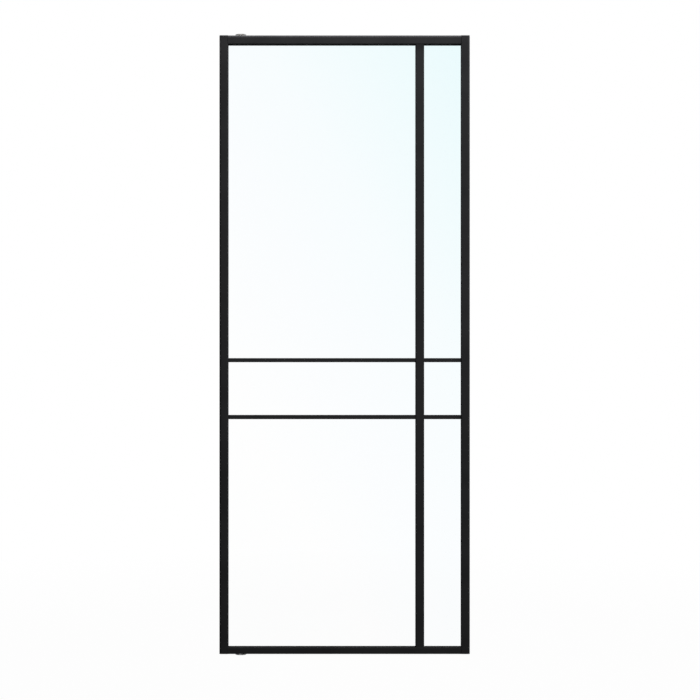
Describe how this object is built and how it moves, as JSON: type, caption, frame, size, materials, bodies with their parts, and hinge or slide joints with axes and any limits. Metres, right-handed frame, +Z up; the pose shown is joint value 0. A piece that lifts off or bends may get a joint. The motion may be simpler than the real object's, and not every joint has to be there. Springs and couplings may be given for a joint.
{
  "type": "glass door",
  "caption": "Slim black framed glass door leaf with an off-centre mullion and thin level glazing bars, hung on concealed floor and ceiling pivots.",
  "frame": {"origin": "middle of the leaf's width and depth, on the finished floor under the floor plate", "axes": "+X to the right along the leaf's width, -Y towards the viewer in front of the door, +Z up"},
  "size_m": [0.826, 0.04, 2.0505],
  "materials": {
    "black_frame": "black powder coat on extruded aluminium, fine satin texture",
    "clear_glass": "clear toughened float glass, polished",
    "bonding_tape": "dark grey acrylic foam tape",
    "gasket_rubber": "black extruded rubber, matt",
    "black_plastic": "black moulded plastic, matt",
    "setting_plastic": "off-white plastic, smooth",
    "block_aluminium": "mill finish aluminium, sawn and drilled",
    "screw_steel": "zinc plated steel",
    "bush_brass": "turned bearing bronze, satin",
    "pivot_steel": "brushed stainless steel"
  },
  "bodies": {
    "pivots": {"floor_plate": "pivot_steel", "floor_pin": "pivot_steel", "thrust_washer": "bush_brass", "ceiling_plate": "pivot_steel", "ceiling_pin": "pivot_steel"},
    "leaf": {"left_stile": "black_frame", "right_stile": "black_frame", "top_rail": "black_frame", "bottom_rail": "black_frame", "mullion": "black_frame", "wide_pane": "clear_glass", "narrow_pane": "clear_glass", "front_upper_bar_wide": "black_frame", "front_upper_bar_narrow": "black_frame", "front_lower_bar_wide": "black_frame", "front_lower_bar_narrow": "black_frame", "back_upper_bar_wide": "black_frame", "back_upper_bar_narrow": "black_frame", "back_lower_bar_wide": "black_frame", "back_lower_bar_narrow": "black_frame", "bar_tapes": "bonding_tape", "wide_top_bead": "black_frame", "wide_bottom_bead": "black_frame", "wide_left_bead": "black_frame", "wide_right_bead": "black_frame", "narrow_top_bead": "black_frame", "narrow_bottom_bead": "black_frame", "narrow_left_bead": "black_frame", "narrow_right_bead": "black_frame", "wide_front_gasket": "gasket_rubber", "wide_back_gasket": "gasket_rubber", "narrow_front_gasket": "gasket_rubber", "narrow_back_gasket": "gasket_rubber", "top_left_cap": "black_plastic", "top_right_cap": "black_plastic", "bottom_left_cap": "black_plastic", "bottom_right_cap": "black_plastic", "setting_blocks": "setting_plastic", "top_corner_block": "block_aluminium", "bottom_corner_block": "block_aluminium", "top_pivot_block": "block_aluminium", "bottom_pivot_block": "block_aluminium", "corner_screws": "screw_steel", "corner_plugs": "black_plastic", "mullion_screws": "screw_steel", "mullion_plugs": "black_plastic", "block_screws": "screw_steel", "top_bush": "bush_brass", "bottom_bush": "bush_brass"}
  },
  "joints": [
    {"name": "leaf_pivot", "type": "hinge", "parent": "pivots", "child": "leaf", "pos_m": [-0.343, 0, 0], "axis": [0, 0, 1], "range_deg": [-90, 90]}
  ]
}
